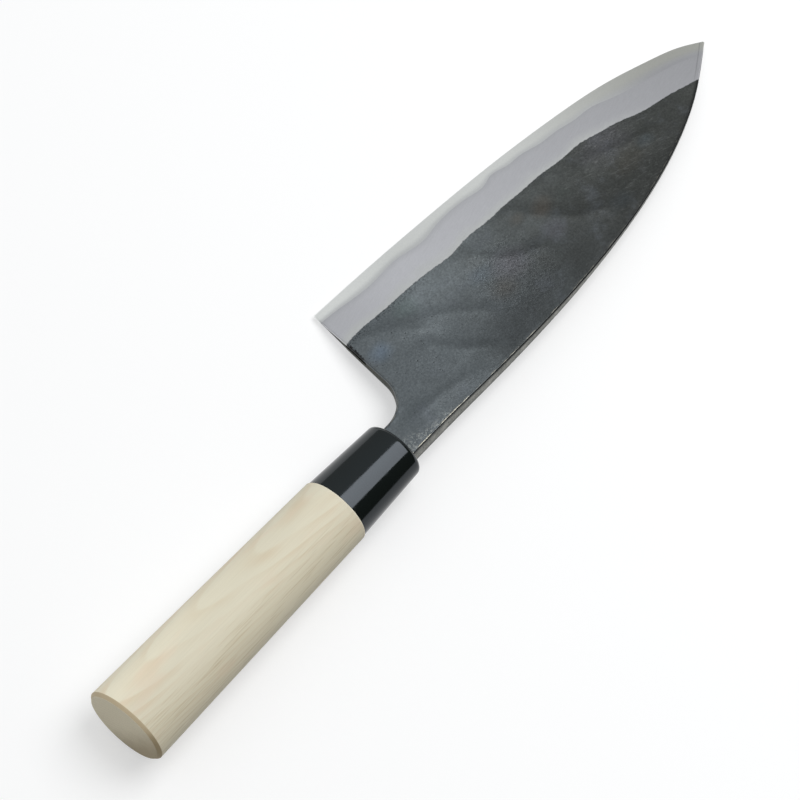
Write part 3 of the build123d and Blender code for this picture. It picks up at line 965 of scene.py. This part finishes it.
# Ho (Japanese magnolia): cream with a grey-green cast, even and fine grained.
# The rings lie nearly along the handle, so they make narrow nested flames on
# the upper side and fine straight lines lower down. Fibres are drawn a few
# times as coarse as real ones, to show.
WOOD_HEX = "#E7E0C9"
WOOD_RING_HEX = "#D3BF9C"
WOOD_BLUSH_HEX = "#E8D5BC"
WOOD_FLAME_HEX = "#D6BD99"
WOOD_LOW_SHADE_HEX = "#DCCBA4"
WOOD_LINE_HEX = "#B7A27A"
WOOD_END_HEX = "#F0E5C9"
WOOD_RIM_HEX = "#D6C3A0"
WOOD_HEART_HEX = "#95825F"
WOOD_SHOULDER_HIGHLIGHT_HEX = "#F3EDD8"
RING_SPACING = 1.5
RING_TILT = 0.085
PITH_AWAY = 46.0
PITH_TURN = math.radians(20)
ho_wood, add = new_material("sanded_ho_wood")
place = knife_millimetres(add)
x_mm, y_mm, z_mm = add("SeparateXYZ", [place]).node.outputs
to_pith_y = add("Math", [y_mm, PITH_AWAY * math.sin(PITH_TURN)], operation="ADD")
to_pith_z = add("Math", [z_mm, PITH_AWAY * math.cos(PITH_TURN)], operation="ADD")
radius = add("CombineXYZ", {"Y": to_pith_y, "Z": to_pith_z})
radius = add("VectorMath", [radius], operation="LENGTH")
ring = add("Math", [x_mm, RING_TILT, radius], **TIMES_PLUS)
for size_mm, stretch, strength in ((30, 1.5, 2.0), (7, 4, 0.35)):
    waves = grain_of(add, place, size_mm, 2, 0.5, (stretch, 1, 1))
    ring = add("Math", [waves, strength, ring], **TIMES_PLUS)
ring = add("Math", [ring, RING_SPACING], operation="DIVIDE")
ring = add("Math", [ring], operation="FRACT")
late = where_all(add, (ring, 0.45, 0.92), (ring, 0.93, 1.0, 1.0, 0.0))
flame = where_all(add, (ring, 0.05, 0.80), (ring, 0.85, 1.0, 1.0, 0.0))
across = add("VectorMath", [place, (0, 0.80, 0.60)], operation="DOT_PRODUCT")
low_side = add("MapRange", [across, -6, 10, 1.0, 0.0], **SOFTLY)
depth = grain_of(add, place, 12, 1, 0.5, (2, 1, 1))
depth = add("MapRange", [depth, 0.35, 0.7, 0.05, 0.30], **SOFTLY)
depth = add("Math", [depth, add("MapRange", [low_side, 0, 1, 0.35, 1.0])], **TIMES)
depth = add("Math", [late, depth], **TIMES)
colour = add("Mix", [depth, WOOD_HEX, WOOD_RING_HEX], **LAID_OVER)
marked = grain_of(add, place, 9, 1, 0.5, (2.5, 1, 1))
marked = add("MapRange", [marked, 0.45, 0.65, 0.08, 0.36], **SOFTLY)
for share in (add("MapRange", [low_side, 0, 1, 1.0, 0.2]), marked):
    flame = add("Math", [flame, share], **TIMES)
blush = grain_of(add, place, 7, 2, 0.5, (3, 1, 1))
blush = add("MapRange", [blush, 0.52, 0.72, 0.0, 0.45], **SOFTLY)
# Painted shade: the lower side is darker and warmer
low_side_shade = add("Math", [low_side, 0.16], **TIMES)
for layer, layer_hex in ((flame, WOOD_FLAME_HEX), (blush, WOOD_BLUSH_HEX), (low_side_shade, WOOD_LOW_SHADE_HEX)):
    colour = add("Mix", [layer, colour, layer_hex], **LAID_OVER)
# Painted light: the wood is a little paler towards the butt, on the cutting edge's side
painted_light_edge_side = add("Math", [x_mm, -0.06, across], **TIMES_PLUS)
fibres = grain_of(add, place, 0.42, 4, 0.6, (50, 1, 1))
for shade in (
    add("MapRange", [fibres, 0.3, 0.7, 0.97, 1.02]),
    add("MapRange", [painted_light_edge_side, 12, 20, 0.95, 1.12], **SOFTLY),
):
    colour = add("Mix", [1.0, colour, shade], **MULTIPLIED)
lines = grain_of(add, place, 0.5, 2, 0.5, (45, 1, 1))
lines = where_all(add, (lines, 0.54, 0.66), (low_side, 0.2, 1.0, 0.03, 0.32))
colour = add("Mix", [lines, colour, WOOD_LINE_HEX], **LAID_OVER)
# End grain shows on the butt and its chamfer, browner towards the heart of the tree
heart = add("Math", [grain_of(add, place, 3, 2), 3.0, across], **TIMES_PLUS)
end_ring = add("Math", [late, 0.12], **TIMES)
end_colour = add("Mix", [end_ring, WOOD_END_HEX, WOOD_RIM_HEX], **LAID_OVER)
end_heart = add("MapRange", [heart, -10.0, 3.0, 0.75, 0.0], **SOFTLY)
end_colour = add("Mix", [end_heart, end_colour, WOOD_HEART_HEX], **LAID_OVER)
pores = add("MapRange", [grain_of(add, place, 0.45, 2), 0.3, 0.7, 0.94, 1.05])
end_colour = add("Mix", [1.0, end_colour, pores], **MULTIPLIED)
rim_heart = add("MapRange", [heart, -6.0, 1.0, 0.7, 0.0], **SOFTLY)
rim_colour = add("Mix", [rim_heart, WOOD_RIM_HEX, WOOD_HEART_HEX], **LAID_OVER)
rim_from = BUTT_X + BUTT_CHAMFER
for start, stop, before, past, over in (
    (rim_from, rim_from + 0.2, 1.0, 0.0, rim_colour),
    (BUTT_X + 0.05, BUTT_X + 0.2, 1.0, 0.0, end_colour),
    # Painted highlight along the shoulder's chamfer
    (SHOULDER_X - 0.1, SHOULDER_X + 0.1, 0.0, 0.8, WOOD_SHOULDER_HIGHLIGHT_HEX),
):
    share = add("MapRange", [x_mm, start, stop, before, past], **SOFTLY)
    colour = add("Mix", [share, colour, over], **LAID_OVER)
close_surface(add, fibres, 0.04, 0.5, {"Base Color": colour, "Roughness": 0.60, "IOR": 1.45})

face_inset = BUTT_CHAMFER + 0.1
section = [(BUTT_X, face_inset * share, share) for share in (0, 0.3, 0.6, 0.85, 1)]
section += [(BUTT_X + 0.07, BUTT_CHAMFER - 0.07, 1), (rim_from - 0.1, 0.1, 1)]
section += [(x, 0, 1) for x in np.linspace(rim_from + 0.1, SHOULDER_X - 0.08, 80)]
section += [(SHOULDER_X + 0.06, 0.06, 1), (-FERRULE_LENGTH, SHOULDER_CHAMFER, 1)]
tenon_inset = bore_inset + TENON_CLEARANCE
tenon_end = -FRONT_WALL - TENON_GAP
section += [(x, tenon_inset, 1) for x in (-FERRULE_LENGTH, -20, -12, tenon_end)]
section += [(tenon_end, tenon_inset * share, share) for share in (0.5, 0)]


def tang_size(x, grow):
    """Place, middle and half sizes of the tang's taper at x, wider by grow."""
    share = -x / TANG_LENGTH
    return (x, TANG_MIDDLE, *[a + (b - a) * share + grow for a, b in zip(*TANG_HALVES)])


channel_ends = [tang_size(x, CHANNEL_CLEARANCE) for x in (-TANG_LENGTH - CHANNEL_GAP, 1)]
grip_mesh = oval_body("sanded_grip", section, ho_wood, channel_ends)
add_piece("sanded_grip", grip_mesh, "ho_wood", "wood_grip")


# Mouth seal and tang bedding: cast resin that fills the slot round the neck
# and the bored channel round the tang. Both keep their CAD shape.
for node_name, dark_hex, pale_hex, size_mm in (
    ("mouth_seal", "#101111", "#1D1C1A", 1.2), ("tang_bedding", "#8F7A55", "#B49C72", 2.5),
):
    cast_resin, add = new_material(node_name + "_cast_resin")
    mottle = grain_of(add, knife_millimetres(add), size_mm)
    colour = add("Mix", [mottle, dark_hex, pale_hex], **LAID_OVER)
    surface = {"Base Color": colour, "Roughness": 0.45, "IOR": 1.5}
    add("OutputMaterial", {"Surface": add("BsdfPrincipled", surface)})
    mesh = frame["nodes"][node_name].data
    mesh.materials.clear()
    mesh.materials.append(cast_resin)

bpy.context.view_layer.update()
